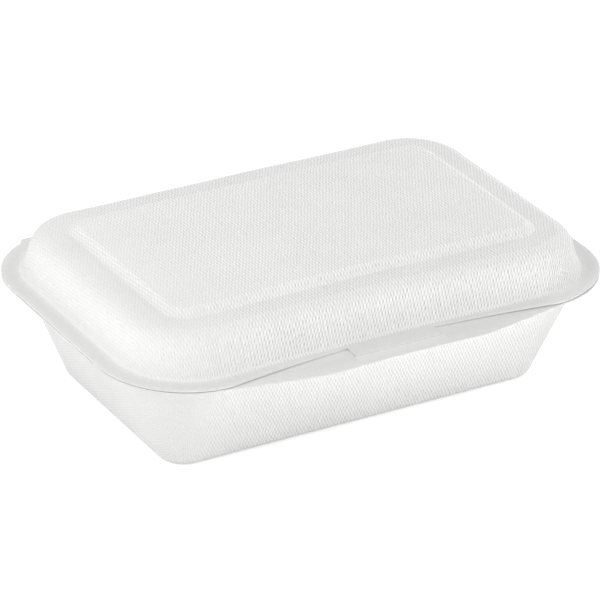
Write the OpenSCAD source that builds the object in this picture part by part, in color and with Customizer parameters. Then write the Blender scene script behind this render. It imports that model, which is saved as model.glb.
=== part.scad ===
// Moulded sugarcane-pulp meal box with a hinged lid, closed.
// One sheet of pressed pulp: a tray and a lid that share one fold along the back.
// X is the long side, the front is -Y, and the tray stands on z = 0.

/* [Sheet] */
// Thickness of the pressed pulp sheet
sheet_t = 0.7; // [0.5:0.05:1.2]

/* [Rim outline] */
// Length of the box over its rim
body_l = 215; // [190:1:250]
// Width of the box over its rim, without the front lip
body_w = 144; // [130:1:175]
// Corner radius of the rim
rim_corner_r = 36; // [30:0.5:42]
// Gap between the tray's rim and the lid's rim
rim_gap = 0.3; // [0.2:0.05:0.6]

/* [Tray] */
// Height of the tray, from the table to the top of its rim
tray_h = 45; // [30:1:55]
// Lean of the tray's walls from upright, in degrees
tray_lean = 22.5; // [14:0.5:25]
// Radius of the tray's bottom edge, outside
base_r = 4.3; // [3:0.1:7]
// Width of the tray's rim, out from the wall
tray_rim_w = 7.5; // [6:0.1:9]
// Radius under the tray's rim
tray_rim_r = 2; // [1:0.25:4]

/* [Lid] */
// Height of the lid's shelf above its rim
shelf_h = 16.1; // [12:0.1:22]
// Lean of the lid's walls from upright, in degrees
lid_lean = 17.5; // [12:0.5:24]
// Width of the lid's rim, out from the wall
lid_rim_w = 7.8; // [6:0.1:9]
// Radius at the foot of the lid's wall
lid_foot_r = 1.5; // [1:0.25:4]
// Radius of the lid's shoulder, outside
shoulder_r = 8.6; // [5:0.1:10]

/* [Raised panel] */
// Width of the shelf, from the shoulder's corner to the foot of the panel's step
shelf_w = 11.4; // [8:0.1:12.5]
// Height of the raised panel above the shelf
step_h = 2.6; // [1:0.1:3.5]
// Radius of the two bends of the step
step_r = 4; // [2.5:0.25:5]

/* [Front lip] */
// How far the tray's lip stands out in front of the rim
lip_out = 8; // [5:0.1:12]
// Length of the lip where it meets the rim
lip_l = 148; // [120:1:150]
// Length of the lip's straight front, between its corners
lip_front_l = 68; // [55:1:80]
// Radius of the lip's two corners
lip_r = 100; // [40:5:140]
// How far the lip's straight front bows in at the middle
lip_bow = 1.2; // [0.4:0.1:2]
// How far the lid's front edge bows in at the middle
lid_bow = 5.3; // [3:0.1:6]

/* [Tongue and slot] */
// Width of the lid's tongue
tongue_w = 37.5; // [28:0.5:44]
// Reach of the tongue in front of the lid's bowed edge, to its outer face
tongue_reach = 5.6; // [4:0.1:7]
// Depth of the tongue below the top of the tray's rim
tongue_drop = 4.25; // [3:0.25:8]
// Outer radius of the tongue's bend
tongue_bend_r = 1.5; // [1.3:0.1:2.5]
// Radius of the tongue's two tip corners
tongue_tip_r = 2.5; // [1:0.25:3]
// Clearance of the tongue in its slot
slot_gap = 0.3; // [0.2:0.05:0.6]

/* [Back fold] */
// Length of the fold strip along the back
fold_l = 176; // [150:1:185]

/* [Hidden] */
$fn = 96;

// Steps of an arc in a section, and of a corner in the lip's outline
bend_steps = 7;
lip_steps = 6;

// Axes of the four upright corner revolves
core_x = body_l / 2 - rim_corner_r;
core_y = body_w / 2 - rim_corner_r;
front_y = -body_w / 2;
back_y = body_w / 2;

// Levels
tray_under_z = tray_h - sheet_t;
lid_under_z = tray_h + rim_gap;
lid_rim_z = lid_under_z + sheet_t;
shelf_z = lid_rim_z + shelf_h;
panel_z = shelf_z + step_h;

// Centres of the tray section's two bends, as distance from the corner axis and height
tray_wall_r = rim_corner_r - tray_rim_w;
base_c = [tray_wall_r - tray_under_z * tan(tray_lean) - base_r * tan(45 - tray_lean / 2), base_r];
tray_rim_c = [tray_wall_r + tray_rim_r * tan(45 - tray_lean / 2), tray_under_z - tray_rim_r];

// Centres of the lid section's bends, from the rim to the raised panel
lid_wall_r = rim_corner_r - lid_rim_w;
foot_c = [lid_wall_r + lid_foot_r * tan(45 - lid_lean / 2), lid_rim_z + lid_foot_r];
shoulder_corner_r = lid_wall_r - shelf_h * tan(lid_lean);
shoulder_c = [shoulder_corner_r - shoulder_r * tan(45 - lid_lean / 2), shelf_z - shoulder_r];
step_a = acos(1 - step_h / (2 * step_r));
step_foot_r = shoulder_corner_r - shelf_w;
step_low_c = [step_foot_r, shelf_z + step_r];
step_high_c = [step_foot_r - 2 * step_r * sin(step_a), panel_z - step_r];

// Radius of the circle that bows an edge in by sag over twice the half length
function bow_radius(half, sag) = (half * half + sag * sag) / (2 * sag);

// Front lip, and the circle that bows its front in
lip_y = front_y - lip_out;
lip_inset = rim_corner_r - tray_rim_c[0];
lip_a = atan(2 * lip_out / (lip_l - lip_front_l));
lip_corner_x = lip_front_l / 2 - lip_r * tan(lip_a / 2);
lip_bow_r = bow_radius(lip_front_l / 2, lip_bow);
lip_bow_y = lip_y + lip_bow - lip_bow_r;

// Circle that bows the lid's front edge in, through the rim's tangent points
lid_bow_r = bow_radius(core_x, lid_bow);
lid_bow_y = front_y + lid_bow - lid_bow_r;

// Tongue, as distances in front of the centre line
lid_edge_y = -front_y - lid_bow;
tongue_root_y = core_y + foot_c[0];
tongue_face_y = lid_edge_y + tongue_reach;
tongue_c = [tongue_face_y - tongue_bend_r, lid_rim_z - tongue_bend_r];
tongue_tip_z = tray_h - tongue_drop;
bend_in_r = tongue_bend_r - sheet_t;
bend_in_z = max(tray_h - tongue_c[1], 0);
bend_in_y = sqrt(max(bend_in_r * bend_in_r - bend_in_z * bend_in_z, 0));
slot_in_y = tongue_c[0] + bend_in_y - slot_gap;
slot_out_y = tongue_face_y + slot_gap;

// Fold strip, over the flat of both rims
tray_strip_w = rim_corner_r - tray_rim_c[0];
lid_strip_w = rim_corner_r - foot_c[0];

// Points of an arc about c, from angle a0 to angle a1
function arc(c, r, a0, a1, n = bend_steps) =
    [for (i = [0:n]) let (a = a0 + (a1 - a0) * i / n) [c[0] + r * cos(a), c[1] + r * sin(a)]];

function backwards(pts) = [for (i = [len(pts) - 1:-1:0]) pts[i]];

// One face of the tray's section, d inside its outer face
function tray_face(d) = concat(
    [[0, d]],
    arc(base_c, base_r - d, -90, -tray_lean),
    arc(tray_rim_c, tray_rim_r + d, 180 - tray_lean, 90),
    [[rim_corner_r, tray_under_z + d]]);

// One face of the lid's section, d inside its outer face
function lid_face(d) = concat(
    [[rim_corner_r, lid_rim_z - d]],
    arc(foot_c, lid_foot_r + d, -90, lid_lean - 180),
    arc(shoulder_c, shoulder_r - d, lid_lean, 90),
    arc(step_low_c, step_r + d, -90, -90 - step_a),
    arc(step_high_c, step_r - d, 90 - step_a, 90),
    [[0, panel_z - d]]);

module tray_section() {
    polygon(concat(tray_face(0), backwards(tray_face(sheet_t))));
}

module lid_section() {
    polygon(concat(lid_face(0), backwards(lid_face(sheet_t))));
}

// Sweeps a section round the box: four corner revolves and four straight sides
module around_box() {
    for (a = [0, 180]) {
        rotate(a) translate([core_x, core_y, 0]) rotate_extrude(angle = 90) children();
        rotate(a) translate([core_x, core_y, 0]) rotate([90, 0, 0])
            linear_extrude(2 * core_y) children();
    }
    for (a = [90, 270]) {
        rotate(a) translate([core_y, core_x, 0]) rotate_extrude(angle = 90) children();
        rotate(a) translate([core_y, core_x, 0]) rotate([90, 0, 0])
            linear_extrude(2 * core_x) children();
    }
}

// Flat sheet between the four corner axes
module core_sheet(z) {
    translate([-core_x, -core_y, z]) cube([2 * core_x, 2 * core_y, sheet_t]);
}

// Straight strip that fills both back corners out to the fold
module fold_strip(z, w) {
    translate([-fold_l / 2, back_y - w, z]) cube([fold_l, w, sheet_t]);
}

// Outline of the front lip: straight front, two large corners and slanting ends
module lip_outline() {
    half = arc([lip_corner_x, lip_y + lip_r], lip_r, -90, lip_a - 90, lip_steps);
    root = [[lip_l / 2, front_y], [core_x, front_y + lip_inset]];
    mirrored = [for (p = concat(half, root)) [-p[0], p[1]]];
    polygon(concat(half, root, backwards(mirrored)));
}

// Cuts a rim's front edge along a large circle, y_c and r, through the sheet above z
module bow_cut(y_c, r, z) {
    translate([0, y_c, z - sheet_t]) cylinder(h = 3 * sheet_t, r = r);
}

module slot() {
    translate([-tongue_w / 2 - slot_gap, -slot_out_y, tray_under_z - sheet_t])
        cube([tongue_w + 2 * slot_gap, slot_out_y - slot_in_y, 3 * sheet_t]);
}

// Section of the tongue, y taken forwards: out over the lip, then down through the slot
module tongue_section() {
    outer = concat([[tongue_root_y, lid_rim_z]], arc(tongue_c, tongue_bend_r, 90, 0),
        [[tongue_face_y, tongue_tip_z]]);
    inner = concat([[tongue_root_y, lid_under_z]], arc(tongue_c, bend_in_r, 90, 0),
        [[tongue_face_y - sheet_t, tongue_tip_z]]);
    polygon(concat(outer, backwards(inner)));
}

// Front view of the tongue, with its two tip corners rounded
module tongue_front() {
    w = tongue_w / 2;
    tip_x = w - tongue_tip_r;
    tip_z = tongue_tip_z + tongue_tip_r;
    top = lid_rim_z + sheet_t;
    left = arc([-tip_x, tip_z], tongue_tip_r, 180, 270);
    right = arc([tip_x, tip_z], tongue_tip_r, 270, 360);
    polygon(concat([[w, top], [-w, top]], left, right));
}

module tongue() {
    intersection() {
        translate([-tongue_w / 2, 0, 0]) rotate([90, 0, -90]) mirror([0, 0, 1])
            linear_extrude(tongue_w) tongue_section();
        rotate([90, 0, 0]) linear_extrude(body_w) tongue_front();
    }
}

module tray() {
    color([0.93, 0.93, 0.92]) difference() {
        union() {
            around_box() tray_section();
            core_sheet(0);
            fold_strip(tray_under_z, tray_strip_w);
            translate([0, 0, tray_under_z]) linear_extrude(sheet_t) lip_outline();
        }
        bow_cut(lip_bow_y, lip_bow_r, tray_under_z);
        slot();
    }
}

module lid() {
    color([0.94, 0.94, 0.93]) union() {
        difference() {
            union() {
                around_box() lid_section();
                core_sheet(panel_z - sheet_t);
                fold_strip(lid_under_z, lid_strip_w);
            }
            bow_cut(lid_bow_y, lid_bow_r, lid_under_z);
        }
        tongue();
    }
}

tray();
lid();
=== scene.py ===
import math

import bmesh
import bpy
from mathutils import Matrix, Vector


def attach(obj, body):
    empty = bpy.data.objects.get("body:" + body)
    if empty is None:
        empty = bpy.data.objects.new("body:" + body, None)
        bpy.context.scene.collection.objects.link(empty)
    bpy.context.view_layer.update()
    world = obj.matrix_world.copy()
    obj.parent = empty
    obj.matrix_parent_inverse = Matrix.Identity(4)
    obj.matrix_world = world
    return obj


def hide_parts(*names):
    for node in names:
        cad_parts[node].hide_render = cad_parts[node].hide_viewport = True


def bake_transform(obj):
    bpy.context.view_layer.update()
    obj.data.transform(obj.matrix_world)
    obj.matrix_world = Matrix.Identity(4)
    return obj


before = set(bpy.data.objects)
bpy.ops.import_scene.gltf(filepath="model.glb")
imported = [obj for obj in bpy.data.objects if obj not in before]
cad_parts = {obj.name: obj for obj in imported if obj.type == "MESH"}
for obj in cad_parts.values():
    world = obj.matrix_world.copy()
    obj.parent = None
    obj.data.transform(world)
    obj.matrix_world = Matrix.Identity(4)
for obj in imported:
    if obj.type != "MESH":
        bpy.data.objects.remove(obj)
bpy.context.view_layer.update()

# The pulp sheet
# Pressed sugarcane pulp, 0.7 mm thick. One side lay on the mould's wire mesh and shows its weave,
# and the other is plain and fibrous. The rims are squeezed hardest, so they are smooth, and they
# have painted shade. The lid's shelf has painted shade, the step of its raised panel a painted
# highlight and the weave's hollows painted shade, and the cut edges are the greyest of all.
MM = 0.001
sheet = 0.7 * MM
cut_round = 0.2 * MM
pulp_pale = (0.880, 0.880, 0.876, 1.0)
pulp_grey = (0.850, 0.850, 0.845, 1.0)
pulp_cut = (0.800, 0.800, 0.795, 1.0)
pulp_rough = 0.85
pulp_gloss = 0.3
noise_mean = 0.5
wire_warp = 1.41 * MM
wire_weft = 2.1 * MM
wire_row_share = 0.08
wire_slant = -0.25
wire_depth = 0.16 * MM
# Painted shade in the weave's hollows, and painted light on its wires
weave_painted_shade = 0.31
wobble_scale = 260
wobble_reach = 1.3 * MM
wear_scale = 600
wear_noise = (0.35, 0.65)
wear_share = (0.4, 1.2)
steep_to_flat = (0.5, 0.95)
flat_share = 0.6
tray_to_lid = (40 * MM, 47 * MM)
tray_share = 0.62
# The weave, its painted shade and the painted shade and highlight off the rims fade out towards the left
# end, where the left lamp falls frontally
faint_to_clear = (-104 * MM, -45 * MM)
faint_share = 0.1
# Painted shade on the rims, a share of it on the lid's shelf, and a painted highlight on the step of its
# raised panel
painted_rim_shade = 0.885
shelf_painted_shade = 0.4
step_painted_highlight = -0.4
rim_from = 0.5
fibre_scale = 900
fibre_rough = 0.65
fibre_twist = 1.5
fibre_depth = 0.05 * MM
fibre_shade = 0.25
cloud_scale = 45
cloud_noise = (0.3, 0.7)
speck_brown = (0.50, 0.46, 0.40, 1.0)
speck_scale = 45
speck_rarity = 0.93
speck_reach = 0.016
speck_strength = 0.7


def feed(tree, socket, value):
    """Links a socket to another one, or sets its value."""
    if isinstance(value, bpy.types.NodeSocket):
        tree.links.new(value, socket)
    else:
        socket.default_value = value


def step(tree, kind, *values, **settings):
    """Adds a node, sets its options and feeds its sockets in order; None leaves one as it is."""
    made = tree.nodes.new(kind)
    for name, value in settings.items():
        setattr(made, name, value)
    for socket, value in zip(made.inputs, values):
        if value is not None:
            feed(tree, socket, value)
    return made


def wired(tree, kind, values, **settings):
    """Adds a node, sets its options and feeds its sockets by name."""
    made = step(tree, kind, **settings)
    for name, value in values.items():
        feed(tree, made.inputs[name], value)
    return made


def calc(tree, operation, *values):
    """Result of one Math node."""
    return step(tree, "ShaderNodeMath", *values, operation=operation).outputs[0]


def vector(tree, operation, *values):
    """Result of one Vector Math node."""
    return step(tree, "ShaderNodeVectorMath", *values, operation=operation).outputs[0]


def scaled(tree, value, share):
    """A vector or colour times a share."""
    return vector(tree, "SCALE", value, None, None, share)


def noise(tree, place, **values):
    """Outputs of a Noise Texture node; the values are named as its sockets."""
    return wired(tree, "ShaderNodeTexNoise", {"Vector": place, **values}).outputs


def ranged(tree, value, before, after):
    """Maps a value from one range to another, and holds it at both ends."""
    return step(tree, "ShaderNodeMapRange", value, *before, *after).outputs[0]


def mixed(tree, share, first, second):
    """Colour that goes from the first to the second by a share."""
    values = {"Factor": share, "A": first, "B": second}
    return wired(tree, "ShaderNodeMix", values, data_type="RGBA").outputs["Result"]


def pressed_pulp():
    """The sheet's finish: wire weave outside, loose fibres inside, cloudy tone, a few specks."""
    material = bpy.data.materials.new("pressed_pulp")
    material.use_nodes = True
    tree = material.node_tree
    shader = tree.nodes["Principled BSDF"]
    place = step(tree, "ShaderNodeAttribute", attribute_name="unrolled").outputs["Vector"]
    outside = step(tree, "ShaderNodeAttribute", attribute_name="outside").outputs["Fac"]
    cut = step(tree, "ShaderNodeAttribute", attribute_name="cut_edge").outputs["Fac"]
    rim = step(tree, "ShaderNodeAttribute", attribute_name="pressed_rim_and_painted_light").outputs["Fac"]
    coords = step(tree, "ShaderNodeTexCoord").outputs
    body = coords["Object"]

    # Weave of the mould's wires, on the unrolled sheet and a little out of line
    wobble = noise(tree, place, Scale=wobble_scale, Detail=2)["Color"]
    drift = scaled(tree, vector(tree, "SUBTRACT", wobble, (noise_mean,) * 3), wobble_reach)
    axes = step(tree, "ShaderNodeSeparateXYZ", vector(tree, "ADD", place, drift)).outputs
    slanted = calc(tree, "MULTIPLY_ADD", axes["Y"], wire_slant, axes["X"])
    warp = calc(tree, "COSINE", calc(tree, "MULTIPLY", slanted, 2 * math.pi / wire_warp))
    turn = calc(tree, "MULTIPLY", axes["Y"], math.pi / wire_weft)
    knuckles = calc(tree, "MULTIPLY", warp, calc(tree, "COSINE", turn))
    rows = calc(tree, "COSINE", calc(tree, "MULTIPLY", turn, 2.0))
    weave = calc(tree, "MULTIPLY_ADD", rows, wire_row_share, knuckles)

    # It shows outside and off the rims, and less on flat parts, on the tray and at the left end
    patch = noise(tree, place, Scale=wear_scale, Detail=2)["Fac"]
    worn = ranged(tree, patch, wear_noise, wear_share)
    body_x, _, body_z = step(tree, "ShaderNodeSeparateXYZ", body).outputs
    upright = step(tree, "ShaderNodeSeparateXYZ", coords["Normal"]).outputs["Z"]
    level = ranged(tree, calc(tree, "ABSOLUTE", upright), steep_to_flat, (1.0, flat_share))
    lower = ranged(tree, body_z, tray_to_lid, (tray_share, 1.0))
    # Towards the left end, where the left lamp falls frontally, the weave, its painted shade and the
    # painted shade and highlight off the rims fade out
    clear = ranged(tree, body_x, faint_to_clear, (faint_share, 1.0))
    on_rim = calc(tree, "GREATER_THAN", rim, rim_from)
    off_rim = calc(tree, "SUBTRACT", 1.0, calc(tree, "MULTIPLY", rim, on_rim))
    bare = calc(tree, "MULTIPLY", calc(tree, "MULTIPLY", outside, off_rim), clear)
    open_face = calc(tree, "MULTIPLY", bare, calc(tree, "MULTIPLY", level, lower))
    imprint = calc(tree, "MULTIPLY", calc(tree, "MULTIPLY", weave, worn), open_face)

    # Height of the weave and of the loose fibres
    strands = {"Detail": 4, "Roughness": fibre_rough, "Distortion": fibre_twist}
    fibres = noise(tree, body, Scale=fibre_scale, **strands)["Fac"]
    loose = calc(tree, "SUBTRACT", fibres, noise_mean)
    fuzz = calc(tree, "MULTIPLY", loose, fibre_depth)
    height = calc(tree, "MULTIPLY_ADD", imprint, wire_depth, fuzz)
    bump = wired(tree, "ShaderNodeBump", {"Height": height, "Distance": 1.0})
    feed(tree, shader.inputs["Normal"], bump.outputs["Normal"])

    # Cloudy tone and fibre mottle, painted shade in the weave's hollows, on the rims and on the shelf,
    # a painted highlight on the step of the raised panel, and a few brown specks
    cloud = noise(tree, body, Scale=cloud_scale, Detail=5)["Fac"]
    tone = ranged(tree, cloud, cloud_noise, (0.0, 1.0))
    edged = mixed(tree, cut, mixed(tree, tone, pulp_grey, pulp_pale), pulp_cut)
    mottled = calc(tree, "MULTIPLY_ADD", loose, fibre_shade, 1.0)
    # Painted shade in the weave's hollows and painted light on its wires, with the random fibre mottle
    mottle_and_painted_shade = calc(tree, "MULTIPLY_ADD", imprint, weave_painted_shade, mottled)
    # Painted shade on the rims and the lid's shelf, and a painted highlight on the step of its raised
    # panel
    painted_light_share = calc(tree, "MULTIPLY", rim, calc(tree, "MAXIMUM", on_rim, clear))
    uncut = calc(tree, "SUBTRACT", 1.0, cut)
    painted_light_factor = calc(tree, "MULTIPLY_ADD", calc(tree, "MULTIPLY", painted_light_share, uncut), painted_rim_shade - 1, 1.0)
    shaded = scaled(tree, edged, calc(tree, "MULTIPLY", mottle_and_painted_shade, painted_light_factor))
    dots = wired(tree, "ShaderNodeTexVoronoi", {"Vector": body, "Scale": speck_scale}).outputs
    chance = step(tree, "ShaderNodeSeparateColor", dots["Color"]).outputs[0]
    rare = calc(tree, "GREATER_THAN", chance, speck_rarity)
    small = calc(tree, "LESS_THAN", dots["Distance"], speck_reach)
    speck = calc(tree, "MULTIPLY", calc(tree, "MULTIPLY", rare, small), speck_strength)
    feed(tree, shader.inputs["Base Color"], mixed(tree, speck, shaded, speck_brown))
    shader.inputs["Roughness"].default_value = pulp_rough
    shader.inputs["Specular IOR Level"].default_value = pulp_gloss
    return material


pulp = pressed_pulp()

# The tray
# The deeper half: floor, four sloping walls, a rim all round and a wide lip along the front.
# It is pressed in one piece with the lid, and its lip has a slot for the lid's tongue.
body_l = 215 * MM
body_w = 144 * MM
rim_r = 36 * MM
core_x = body_l / 2 - rim_r
core_y = body_w / 2 - rim_r
station_gap = 2 * MM
row_gap = 3.2 * MM
corner_steps = 24
edge_steps = 3
sharp_angle = math.radians(35)
weld = 0.002 * MM
front_turn = -0.3
back_turn = 0.5
least_turn = 0.3
tray_h = 45 * MM
tray_lean = math.radians(22.5)
base_r = 4.3 * MM
tray_rim_w = 7.5 * MM
tray_rim_r = 2 * MM
tray_rim_wave = -0.12 * MM
wave_size = 45 * MM
lip_out = 8 * MM
lip_half = 74 * MM
lip_front_half = 34 * MM
lip_corner = 2.6 * MM
lip_bow = 1.2 * MM
fold_half = 88 * MM
fold_room = 0.85 * MM
slot_w = 38.1 * MM
slot_near = 70.4 * MM
slot_far = 72.32 * MM


def bend(centre, radius, start, end, steps=8):
    """Points of an arc in a section; the angles are in radians."""
    angles = [start + (end - start) * i / steps for i in range(steps + 1)]
    return [(centre[0] + radius * math.cos(a), centre[1] + radius * math.sin(a)) for a in angles]


def filled(points, gap):
    """The same line with more points on its long straight runs."""
    made = [points[0]]
    for a, b in zip(points, points[1:]):
        parts = max(1, math.ceil(math.dist(a, b) / gap))
        for i in range(1, parts + 1):
            made.append((a[0] + (b[0] - a[0]) * i / parts, a[1] + (b[1] - a[1]) * i / parts))
    return made


def run_lengths(points):
    """Length along the sheet at each point, from the corner axis outwards."""
    runs = [0.0]
    for a, b in zip(points, points[1:]):
        runs.append(runs[-1] + (math.dist(a, b) if b[0] > 0 else 0.0))
    return runs


def placed(name, data):
    """A new object of the scene with this mesh, lamp or camera."""
    made = bpy.data.objects.new(name, data)
    bpy.context.scene.collection.objects.link(made)
    return made


def mark(mesh, label, values):
    """Stores a number at each point of a mesh."""
    mesh.attributes.new(label, "FLOAT", "POINT").data.foreach_set("value", values)


def section_object(name, outside, inside, flat_start, shelf=(0, 0, 0)):
    """The closed section of a shell as loose points, from the middle out and back again."""
    outside, inside = filled(outside, row_gap), filled(inside, row_gap)
    (r, low), high = outside[-1], inside[-1][1]
    turn = 1 if high > low else -1
    lower = bend((r, low + turn * cut_round), cut_round, -turn * math.pi / 2, 0, edge_steps)
    upper = bend((r, high - turn * cut_round), cut_round, 0, turn * math.pi / 2, edge_steps)
    edge = lower + [(r + cut_round, (low + high) / 2)] + upper
    points = outside[:-1] + edge + inside[-2::-1]
    out_runs, in_runs = run_lengths(outside), run_lengths(inside)
    step_start, shelf_start, shelf_end = shelf

    def rim_and_painted_light_share(x):
        """Rim: squeezed smooth, painted shade. Shelf: a share of painted shade. Step: a painted
        highlight.
        """
        # Painted shade on the shelf, and a painted highlight on the step
        if shelf_start < x < shelf_end:
            return shelf_painted_shade
        if step_start < x <= shelf_start:
            return step_painted_highlight
        return min(max((x - flat_start) / MM + 0.5, 0.0), 1.0)

    mesh = bpy.data.meshes.new(name)
    mesh.from_pydata([(x, 0, z) for x, z in points], [], [])
    mark(mesh, "run", out_runs[:-1] + [out_runs[-1]] * len(edge) + in_runs[-2::-1])
    mark(mesh, "outside", [1.0] * (len(outside) - 1) + [0.0] * (len(edge) + len(inside) - 1))
    mark(mesh, "cut_edge", [0.0] * (len(outside) - 1) + [1.0] * len(edge) + [0.0] * (len(inside) - 1))
    mark(mesh, "pressed_rim_and_painted_light", [rim_and_painted_light_share(x) for x, _ in points])
    return placed(name, mesh)


def pressing_tree():
    """Sweeps a section round the box. Each station on the rim has its own reach beyond the
    rounded rectangle: the front lip or bow, and the straight fold along the back."""
    tree = bpy.data.node_groups.new("pressed_shell", "GeometryNodeTree")
    face = tree.interface
    face.new_socket("Section", in_out="INPUT", socket_type="NodeSocketGeometry")
    for name in (
        "Core half length", "Core half width", "Rim radius", "Flat start", "Station gap", "Lip out",
        "Lip half length", "Lip front half length", "Lip corner", "Bow", "Bow half length",
        "Fold half length", "Fold room", "Wall bow", "Rim wave", "Wave size", "Flat wave",
        "Front lift", "Front lift place", "Front lift width",
        "Corner lift", "Corner lift place", "Corner lift width",
    ):
        face.new_socket(name, in_out="INPUT", socket_type="NodeSocketFloat")
    face.new_socket("Material", in_out="INPUT", socket_type="NodeSocketMaterial")
    face.new_socket("Shell", in_out="OUTPUT", socket_type="NodeSocketGeometry")
    given = tree.nodes.new("NodeGroupInput").outputs
    core_l, core_w, rim = given["Core half length"], given["Core half width"], given["Rim radius"]

    def combined(*parts):
        return step(tree, "ShaderNodeCombineXYZ", *parts).outputs[0]

    def count_of(source, component):
        size = step(tree, "GeometryNodeAttributeDomainSize", source, component=component)
        return size.outputs["Point Count"]

    # Stations along the rounded rectangle of the rim
    width = calc(tree, "MULTIPLY", calc(tree, "ADD", core_l, rim), 2.0)
    depth = calc(tree, "MULTIPLY", calc(tree, "ADD", core_w, rim), 2.0)
    line = step(tree, "GeometryNodeCurvePrimitiveQuadrilateral", width, depth).outputs[0]
    corners = {"Curve": line, "Count": corner_steps, "Radius": rim}
    rounded = wired(tree, "GeometryNodeFilletCurve", corners, mode="POLY").outputs[0]
    spacing = {"Curve": rounded, "Length": given["Station gap"]}
    spaced = wired(tree, "GeometryNodeResampleCurve", spacing, mode="LENGTH").outputs[0]
    stations = count_of(spaced, "CURVE")
    rows = count_of(given["Section"], "MESH")

    # A sheet of quads, one column for each station and one row for each point of the section
    columns = calc(tree, "ADD", stations, 1.0)
    grid = step(tree, "GeometryNodeMeshGrid", 1.0, 1.0, columns, rows).outputs["Mesh"]
    index = tree.nodes.new("GeometryNodeInputIndex").outputs[0]
    column = calc(tree, "FLOOR", calc(tree, "DIVIDE", index, rows))
    station = calc(tree, "MODULO", column, stations)
    row = calc(tree, "SUBTRACT", index, calc(tree, "MULTIPLY", column, rows))

    def sample(source, value, place, kind):
        values = {"Geometry": source, "Value": value, "Index": place}
        return wired(tree, "GeometryNodeSampleIndex", values, data_type=kind, domain="POINT").outputs[0]

    def noted(name):
        found = wired(tree, "GeometryNodeInputNamedAttribute", {"Name": name}, data_type="FLOAT")
        return sample(given["Section"], found.outputs["Attribute"], row, "FLOAT")

    position = tree.nodes.new("GeometryNodeInputPosition").outputs[0]
    on_rim = sample(spaced, position, station, "FLOAT_VECTOR")
    in_section = sample(given["Section"], position, row, "FLOAT_VECTOR")
    radius, _, height = step(tree, "ShaderNodeSeparateXYZ", in_section).outputs
    run = noted("run")

    # The corner axis or side line that a station belongs to, and its outward direction
    far = combined(core_l, core_w, 0.0)
    anchor = vector(tree, "MAXIMUM", vector(tree, "MINIMUM", on_rim, far), scaled(tree, far, -1.0))
    outward = vector(tree, "NORMALIZE", vector(tree, "SUBTRACT", on_rim, anchor))
    rim_x = step(tree, "ShaderNodeSeparateXYZ", on_rim).outputs["X"]
    out_x, out_y, _ = step(tree, "ShaderNodeSeparateXYZ", outward).outputs
    anchor_x = step(tree, "ShaderNodeSeparateXYZ", anchor).outputs["X"]
    aside = calc(tree, "ABSOLUTE", rim_x)
    front = calc(tree, "LESS_THAN", out_y, front_turn)
    behind = calc(tree, "GREATER_THAN", out_y, back_turn)

    # Reach of the front lip or bow
    lip_end, lip_turn = given["Lip half length"], given["Lip front half length"]
    lip_slope = calc(tree, "DIVIDE", given["Lip out"], calc(tree, "SUBTRACT", lip_end, lip_turn))
    slant = calc(tree, "MULTIPLY", calc(tree, "SUBTRACT", lip_end, aside), lip_slope)
    eased = calc(tree, "SMOOTH_MIN", slant, given["Lip out"], given["Lip corner"])
    lip = calc(tree, "MAXIMUM", eased, 0.0)
    share = calc(tree, "DIVIDE", aside, given["Bow half length"])
    inward = calc(tree, "SUBTRACT", 1.0, calc(tree, "MULTIPLY", share, share))
    bow = calc(tree, "MULTIPLY", given["Bow"], calc(tree, "MAXIMUM", inward, 0.0))
    front_reach = calc(tree, "MULTIPLY", front, calc(tree, "SUBTRACT", lip, bow))

    # Reach of the straight fold along the back
    fold_y = calc(tree, "SUBTRACT", rim, given["Fold room"])
    to_fold = calc(tree, "DIVIDE", fold_y, calc(tree, "MAXIMUM", out_y, least_turn))
    across = calc(tree, "ADD", anchor_x, calc(tree, "MULTIPLY", out_x, to_fold))
    along_fold = calc(tree, "LESS_THAN", calc(tree, "ABSOLUTE", across), given["Fold half length"])
    at_fold = calc(tree, "MULTIPLY", behind, along_fold)
    back_reach = calc(tree, "MULTIPLY", at_fold, calc(tree, "SUBTRACT", to_fold, rim))
    reach = calc(tree, "ADD", front_reach, back_reach)

    # The flat of the rim stretches to that reach, and waves a little at its free edge
    flat_run = calc(tree, "SUBTRACT", radius, given["Flat start"])
    flat_w = calc(tree, "SUBTRACT", rim, given["Flat start"])
    on_flat = calc(tree, "MAXIMUM", calc(tree, "DIVIDE", flat_run, flat_w), 0.0)
    stretched = calc(tree, "MULTIPLY_ADD", on_flat, reach, calc(tree, "MAXIMUM", radius, 0.0))
    wave_scale = calc(tree, "DIVIDE", 1.0, given["Wave size"])
    ripple = noise(tree, on_rim, Scale=wave_scale, Detail=1.0)["Fac"]
    wavy = calc(tree, "MULTIPLY", ripple, given["Rim wave"])
    lift = calc(tree, "MULTIPLY", wavy, calc(tree, "MULTIPLY", on_flat, on_flat))
    for spot in ("Front lift", "Corner lift"):
        beside = calc(tree, "SUBTRACT", rim_x, given[spot + " place"])
        off = calc(tree, "DIVIDE", beside, given[spot + " width"])
        hump = calc(tree, "EXPONENT", calc(tree, "MULTIPLY", calc(tree, "MULTIPLY", off, off), -1.0))
        bulge = calc(tree, "MULTIPLY", hump, given[spot])
        more = calc(tree, "MULTIPLY", bulge, calc(tree, "MULTIPLY", front, on_flat))
        lift = calc(tree, "ADD", lift, more)
    free = calc(tree, "SUBTRACT", 1.0, at_fold)
    raised = calc(tree, "ADD", height, calc(tree, "MULTIPLY", lift, free))

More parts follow.
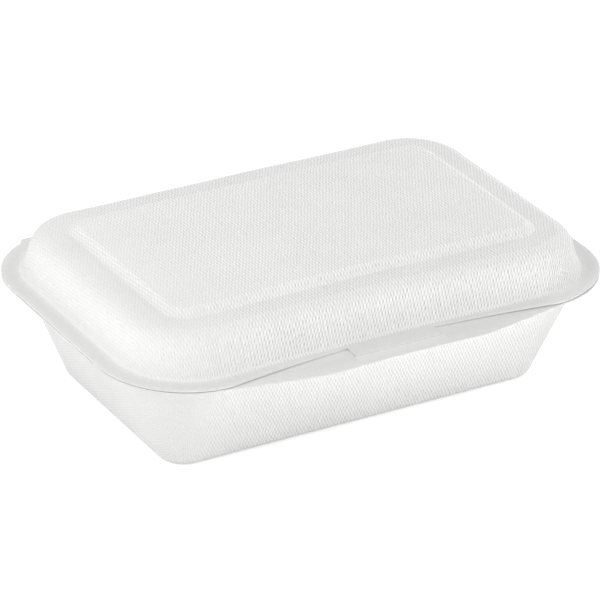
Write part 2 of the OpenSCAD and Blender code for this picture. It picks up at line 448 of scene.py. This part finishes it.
    # Inside the corner axes the rings shrink with the core rectangle to the middle of the sheet
    inside_axis = calc(tree, "DIVIDE", calc(tree, "MINIMUM", radius, 0.0), core_w)
    shrink = calc(tree, "ADD", 1.0, inside_axis)
    along = calc(tree, "DIVIDE", anchor_x, core_l)
    fall = calc(tree, "SUBTRACT", 1.0, calc(tree, "MULTIPLY", along, along))
    slack = calc(tree, "MULTIPLY", given["Wall bow"], calc(tree, "MULTIPLY", fall, fall))
    moved = vector(tree, "ADD", anchor, combined(0.0, calc(tree, "MULTIPLY", slack, front), 0.0))
    plan = vector(tree, "ADD", scaled(tree, moved, shrink), scaled(tree, outward, stretched))
    swell = noise(tree, plan, Scale=wave_scale, Detail=0.0)["Fac"]
    wave = calc(tree, "MULTIPLY", calc(tree, "SUBTRACT", swell, noise_mean), given["Flat wave"])
    off_flat = calc(tree, "SUBTRACT", 1.0, calc(tree, "MINIMUM", on_flat, 1.0))
    level = calc(tree, "MULTIPLY_ADD", wave, off_flat, raised)
    place = vector(tree, "ADD", plan, combined(0.0, 0.0, level))
    unrolled = vector(tree, "ADD", scaled(tree, anchor, shrink), scaled(tree, outward, run))

    # The shell, with what the finish needs to know of each point
    shell = wired(tree, "GeometryNodeSetPosition", {"Geometry": grid, "Position": place}).outputs[0]
    for name, value, kind in (
        ("unrolled", unrolled, "FLOAT_VECTOR"), ("outside", noted("outside"), "FLOAT"),
        ("cut_edge", noted("cut_edge"), "FLOAT"), ("pressed_rim_and_painted_light", noted("pressed_rim_and_painted_light"), "FLOAT"),
    ):
        values = {"Geometry": shell, "Name": name, "Value": value}
        stored = wired(tree, "GeometryNodeStoreNamedAttribute", values, data_type=kind, domain="POINT")
        shell = stored.outputs[0]
    closed = wired(tree, "GeometryNodeMergeByDistance", {"Geometry": shell, "Distance": weld})
    smooth = wired(tree, "GeometryNodeSetShadeSmooth", {"Geometry": closed.outputs[0]})
    whole = step(tree, "GeometryNodeRealizeInstances", smooth.outputs[0])
    dress = {"Geometry": whole.outputs[0], "Material": given["Material"]}
    dressed = wired(tree, "GeometryNodeSetMaterial", dress)
    done = tree.nodes.new("NodeGroupOutput")
    feed(tree, done.inputs["Shell"], dressed.outputs[0])
    return tree


pressing = pressing_tree()


def plain_mesh(made):
    """Gives the object its evaluated shape as a plain mesh, with its modifiers gone."""
    bpy.context.view_layer.update()
    graph = bpy.context.evaluated_depsgraph_get()
    mesh = bpy.data.meshes.new_from_object(made.evaluated_get(graph))
    old = made.data
    made.modifiers.clear()
    made.data = mesh
    bpy.data.meshes.remove(old)
    mesh.name = made.name


def press(made, sizes):
    """Runs the pressing tree on a section, and turns its faces outwards."""
    modifier = made.modifiers.new("pressing", "NODES")
    modifier.node_group = pressing
    for socket in pressing.interface.items_tree:
        if socket.name in sizes:
            modifier[socket.identifier] = sizes[socket.name]
    plain_mesh(made)
    work = bmesh.new()
    work.from_mesh(made.data)
    bmesh.ops.recalc_face_normals(work, faces=work.faces)
    work.to_mesh(made.data)
    work.free()


def carve(made, tool, operation):
    """Joins a solid to a shell or cuts it out of it, and removes the solid."""
    modifier = made.modifiers.new("carve", "BOOLEAN")
    modifier.operation = operation
    modifier.solver = "EXACT"
    modifier.object = tool
    plain_mesh(made)
    made.data.set_sharp_from_angle(angle=sharp_angle)
    bpy.data.objects.remove(tool)


def tangent(lean):
    """How far, for a radius of 1, an arc's centre lies past the corner of a leaning wall."""
    return math.tan(math.pi / 4 - lean / 2)


tray_under = tray_h - sheet
wall_r = rim_r - tray_rim_w
base_c = (wall_r - tray_under * math.tan(tray_lean) - base_r * tangent(tray_lean), base_r)
under_rim_c = (wall_r + tray_rim_r * tangent(tray_lean), tray_under - tray_rim_r)


def tray_face(depth):
    """One face of the tray's section, so deep inside its outer face."""
    return (
        [(-core_y, depth), (0, depth)]
        + bend(base_c, base_r - depth, -math.pi / 2, -tray_lean)
        + bend(under_rim_c, tray_rim_r + depth, math.pi - tray_lean, math.pi / 2)
        + [(rim_r - cut_round, tray_under + depth)]
    )


rim_sizes = {
    "Core half length": core_x, "Core half width": core_y, "Rim radius": rim_r,
    "Station gap": station_gap, "Fold half length": fold_half, "Fold room": fold_room,
    "Wave size": wave_size, "Material": pulp,
}
tray = section_object("tray_shell", tray_face(0), tray_face(sheet), under_rim_c[0])
press(tray, {
    **rim_sizes, "Flat start": under_rim_c[0], "Lip out": lip_out, "Lip half length": lip_half,
    "Lip front half length": lip_front_half, "Lip corner": lip_corner, "Bow": lip_bow,
    "Bow half length": lip_front_half, "Wall bow": 0.0, "Rim wave": tray_rim_wave,
    "Flat wave": 0.0, "Front lift": 0.0, "Front lift place": 0.0, "Front lift width": 1.0,
    "Corner lift": 0.0, "Corner lift place": 0.0, "Corner lift width": 1.0,
})


def block(name, low, high):
    """A plain solid between two corners, to cut with."""
    mesh = bpy.data.meshes.new(name)
    work = bmesh.new()
    bmesh.ops.create_cube(work, size=1)
    for v in work.verts:
        v.co = [(a if c < 0 else b) for c, a, b in zip(v.co, low, high)]
    work.to_mesh(mesh)
    work.free()
    return placed(name, mesh)


slot_low = (-slot_w / 2, -slot_far, tray_under - sheet)
slot_high = (slot_w / 2, -slot_near, tray_h + sheet)
carve(tray, block("slot_tool", slot_low, slot_high), "DIFFERENCE")
tray.data.materials.clear()
tray.data.materials.append(pulp)
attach(tray, "tray")
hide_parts("tray")

# The lid
# The shallow half: a rim with a bowed front, sloping walls, a rounded shoulder and a raised panel.
# It turns about the fold along the back, and its tongue goes down through the tray's slot.
rim_gap = 0.3 * MM
shelf_h = 16.1 * MM
lid_lean = math.radians(17.5)
lid_rim_w = 7.8 * MM
foot_r = 1.5 * MM
shoulder_r = 8.6 * MM
shelf_w = 12.0 * MM
shelf_ease = 1 * MM
step_h = 2.6 * MM
step_low_r = 5.6 * MM
step_high_r = 1.2 * MM
lid_bow = 5.3 * MM
lid_wall_bow = 1.2 * MM
lid_rim_wave = 0.1 * MM
lid_flat_wave = 0.9 * MM
front_lift = -0.31 * MM
front_lift_x = -6 * MM
front_lift_w = 62 * MM
corner_lift = 0.45 * MM
corner_lift_x = 94 * MM
corner_lift_w = 14 * MM
tongue_w = 37.5 * MM
tongue_reach = 5.6 * MM
tongue_drop = 4.25 * MM
tongue_turn_r = 1.1 * MM
tongue_tip_r = 2.5 * MM
tongue_proud = 0.04 * MM
tongue_start = 0.3 * MM
tongue_sink = 0.2 * MM
tongue_turn_from = 1.45
tongue_steps = 8
tongue_spare = 0.01 * MM

lid_under = tray_h + rim_gap
lid_top = lid_under + sheet
shelf_z = lid_top + shelf_h
panel_z = shelf_z + step_h
lid_wall_r = rim_r - lid_rim_w
foot_c = (lid_wall_r + foot_r * tangent(lid_lean), lid_top + foot_r)
corner_r = lid_wall_r - shelf_h * math.tan(lid_lean)
shoulder_c = (corner_r - shoulder_r * tangent(lid_lean), shelf_z - shoulder_r)
step_a = math.acos(1 - step_h / (step_low_r + step_high_r))
step_low_c = (corner_r - shelf_w, shelf_z + step_low_r)
step_high_c = (step_low_c[0] - (step_low_r + step_high_r) * math.sin(step_a), panel_z - step_high_r)
lid_shelf = (step_high_c[0], step_low_c[0] - shelf_ease, shoulder_c[0] + shelf_ease)


def lid_face(depth):
    """One face of the lid's section, so deep inside its outer face."""
    up = math.pi / 2
    return (
        [(-core_y, panel_z - depth), (0, panel_z - depth)]
        + bend(step_high_c, step_high_r - depth, up, up - step_a)
        + bend(step_low_c, step_low_r + depth, -up - step_a, -up)
        + bend(shoulder_c, shoulder_r - depth, up, lid_lean, steps=12)
        + bend(foot_c, foot_r + depth, lid_lean - math.pi, -up)
        + [(rim_r - cut_round, lid_top - depth)]
    )


lid = section_object("lid_shell", lid_face(0), lid_face(sheet), foot_c[0], lid_shelf)
press(lid, {
    **rim_sizes, "Flat start": foot_c[0], "Lip out": 0.0, "Lip half length": lip_half,
    "Lip front half length": lip_front_half, "Lip corner": 0.0, "Bow": lid_bow,
    "Bow half length": core_x, "Wall bow": lid_wall_bow, "Rim wave": lid_rim_wave,
    "Flat wave": lid_flat_wave, "Front lift": front_lift, "Front lift place": front_lift_x,
    "Front lift width": front_lift_w, "Corner lift": corner_lift,
    "Corner lift place": corner_lift_x, "Corner lift width": corner_lift_w,
})


def lofted(name, rings):
    """A smooth solid of pulp through closed rings of points, with both its ends shut."""
    mesh = bpy.data.meshes.new(name)
    work = bmesh.new()
    loops = [[work.verts.new(point) for point in ring] for ring in rings]
    for a, b in zip(loops, loops[1:]):
        for i in range(len(a)):
            j = (i + 1) % len(a)
            work.faces.new((a[i], a[j], b[j], b[i]))
    work.faces.new(loops[0][::-1])
    work.faces.new(loops[-1])
    bmesh.ops.recalc_face_normals(work, faces=work.faces)
    work.to_mesh(mesh)
    work.free()
    mesh.shade_smooth()
    mesh.materials.append(pulp)
    return placed(name, mesh)


def tongue_solid():
    """The tongue: out over the lip from the lid's foot, then down through the slot."""
    edge_y = body_w / 2 - lid_bow
    face_y = edge_y + tongue_reach
    root_y = core_y + foot_c[0] + tongue_start
    tip = tray_h - tongue_drop
    centre = (face_y - tongue_turn_r, lid_top - tongue_sink - tongue_turn_r)
    outer = [(root_y, lid_top - tongue_proud), (edge_y, lid_top + tongue_proud)]
    outer += bend(centre, tongue_turn_r, tongue_turn_from, 0, steps=10) + [(face_y, tip)]
    inner = [(root_y, lid_under + tongue_proud), (edge_y, lid_under - tongue_proud)]
    inner += bend(centre, tongue_turn_r - sheet, tongue_turn_from, 0, steps=10)
    inner += [(face_y - sheet, tip)]
    straight = tongue_w / 2 - tongue_tip_r
    corner = [x for x, _ in bend((straight, 0), tongue_tip_r, math.pi / 2, 0, steps=5)]
    right = [straight * i / tongue_steps for i in range(tongue_steps)] + corner
    rings = []
    for x in [-x for x in reversed(right[1:])] + right:
        past = max(abs(x) - straight, 0)
        end = tip + tongue_tip_r - math.sqrt(max(tongue_tip_r ** 2 - past ** 2, 0))
        rings.append([
            (x, -y, max(z, end) if z < tray_under - sheet else z) for y, z in outer + inner[::-1]
        ])
    return lofted("tongue", rings)


carve(lid, tongue_solid(), "UNION")
tongue_side = tongue_w / 2 + tongue_spare
tongue_back = core_y + foot_c[0] + tongue_sink
# The tongue counts as rim: no weave, and the rim's painted shade
for v in lid.data.vertices:
    if abs(v.co.x) < tongue_side and v.co.y < -tongue_back:
        for label, value in (("outside", 0.0), ("cut_edge", 0.0), ("pressed_rim_and_painted_light", 1.0)):
            lid.data.attributes[label].data[v.index].value = value
        lid.data.attributes["unrolled"].data[v.index].vector = (v.co.x, v.co.y, 0)
lid.data.materials.clear()
lid.data.materials.append(pulp)
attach(lid, "lid")
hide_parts("lid")

# The fold web
# The thin strip of the same sheet that bends between the two rims along the back.
# It is one with both halves.
web_t = 0.8 * MM
web_c = (body_w / 2 - fold_room, tray_h + rim_gap / 2)
web_out = fold_room
web_in = web_out - web_t
web_short = 3.2 * MM
web_half = fold_half - web_short
web_parts = 90
web_steps = 14
tuck = 0.6 * MM
web_ease = 0.03 * MM


def fold_web():
    """A half-round strip, with both ends tucked into the rims."""
    up = math.pi / 2
    outer = [(web_c[0] - tuck, web_c[1] - web_out + web_ease)] + bend(web_c, web_out, -up, up, web_steps)
    outer += [(web_c[0] - tuck, web_c[1] + web_out - web_ease)]
    inner = [(web_c[0] - tuck, web_c[1] - web_in)] + bend(web_c, web_in, -up, up, web_steps)
    inner += [(web_c[0] - tuck, web_c[1] + web_in)]
    places = [-web_half + 2 * web_half * i / web_parts for i in range(web_parts + 1)]
    made = lofted("fold_web", [[(x, y, z) for y, z in outer + inner[::-1]] for x in places])
    count = len(made.data.vertices)
    mark(made.data, "outside", [1.0] * count)
    mark(made.data, "cut_edge", [0.0] * count)
    # The web counts as rim: no weave, and the rim's painted shade
    mark(made.data, "pressed_rim_and_painted_light", [1.0] * count)
    flat = [c for v in made.data.vertices for c in (v.co.x, v.co.z, 0.0)]
    made.data.attributes.new("unrolled", "FLOAT_VECTOR", "POINT").data.foreach_set("vector", flat)
    return made


web = fold_web()
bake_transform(web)

# The floor, the light and the camera
# A plain white floor in a soft light tent, with lamps at the left, at the right and in front, and
# a small low one for the front wall. Two narrow lamps brighten the floor in front and at the left.
# The camera stands at the front left with a long lens, turned by a degree and a half.
white = (1, 1, 1, 1)
floor_white = (0.96, 0.96, 0.96, 1)
floor_glow = 0.42
floor_half = 3
tent_light = 0.69
tent_seen = 1.0

corners = [(-floor_half, -floor_half, 0), (floor_half, -floor_half, 0)]
corners += [(floor_half, floor_half, 0), (-floor_half, floor_half, 0)]
floor_mesh = bpy.data.meshes.new("floor")
floor_mesh.from_pydata(corners, [], [(0, 1, 2, 3)])
floor = placed("floor", floor_mesh)
white_floor = bpy.data.materials.new("white_floor")
white_floor.use_nodes = True
nodes = white_floor.node_tree
nodes.nodes.clear()
matte = step(nodes, "ShaderNodeBsdfDiffuse", floor_white)
glow = step(nodes, "ShaderNodeEmission", white, floor_glow)
both = step(nodes, "ShaderNodeAddShader", matte.outputs[0], glow.outputs[0])
seen = step(nodes, "ShaderNodeLightPath").outputs["Is Camera Ray"]
choice = step(nodes, "ShaderNodeMixShader", seen, matte.outputs[0], both.outputs[0])
step(nodes, "ShaderNodeOutputMaterial", choice.outputs[0])
floor_mesh.materials.append(white_floor)

world = bpy.data.worlds.new("light_tent")
bpy.context.scene.world = world
world.use_nodes = True
sky = world.node_tree
sky.nodes.clear()
path = step(sky, "ShaderNodeLightPath").outputs
through = calc(sky, "MAXIMUM", path["Is Glossy Ray"], path["Is Transmission Ray"])
shown = calc(sky, "MAXIMUM", path["Is Camera Ray"], through)
tent = step(sky, "ShaderNodeBackground", white, tent_light)
backdrop = step(sky, "ShaderNodeBackground", white, tent_seen)
seen_world = step(sky, "ShaderNodeMixShader", shown, tent.outputs[0], backdrop.outputs[0])
step(sky, "ShaderNodeOutputWorld", seen_world.outputs[0])


def softbox(name, place, aim, size, power, spread=180):
    """A square area lamp, unseen by the camera, that faces a point."""
    lamp = bpy.data.lights.new(name, "AREA")
    lamp.shape = "SQUARE"
    lamp.size = size
    lamp.energy = power
    lamp.spread = math.radians(spread)
    made = placed(name, lamp)
    made.location = place
    made.rotation_euler = (Vector(aim) - Vector(place)).to_track_quat("-Z", "Y").to_euler()
    made.visible_camera = False


box_middle = (0, 0, 0.03)
softbox("left_softbox", (-0.46, -0.06, 0.44), box_middle, 0.35, 1.0)
softbox("right_softbox", (0.66, 0.30, 0.24), box_middle, 0.3, 1.6)
softbox("front_softbox", (0.45, -0.80, 0.16), box_middle, 0.3, 0.65)
softbox("low_front_softbox", (0.05, -0.36, 0.05), (0.02, -0.06, 0.02), 0.1, 0.10)
softbox("front_floor_softbox", (0.02, -0.165, 0.12), (0.02, -0.165, 0), 0.06, 0.17, 40)
softbox("left_floor_softbox", (-0.25, -0.02, 0.18), (-0.25, -0.02, 0), 0.16, 0.08, 40)

view_turn = math.radians(-30.93)
view_rise = math.radians(27.15)
view_roll = math.radians(1.46)
view_far = 1537.7 * MM
view_at = Vector((-0.29, 0, 31.41)) * MM
focal_px = 3955.5
frame_px = 600
lens = bpy.data.cameras.new("camera")
lens.sensor_width = 36
lens.lens = focal_px / frame_px * lens.sensor_width
camera = placed("camera", lens)
view_run = math.cos(view_rise)
back_x = math.sin(view_turn) * view_run
back_y = -math.cos(view_turn) * view_run
back = Vector((back_x, back_y, math.sin(view_rise)))
camera.location = view_at + back * view_far
look = (-back).to_track_quat("-Z", "Y").to_matrix().to_4x4()
look.translation = camera.location
camera.matrix_world = look
camera.rotation_euler.rotate_axis("Z", view_roll)
bpy.context.scene.camera = camera
bpy.context.scene.view_settings.view_transform = "Standard"
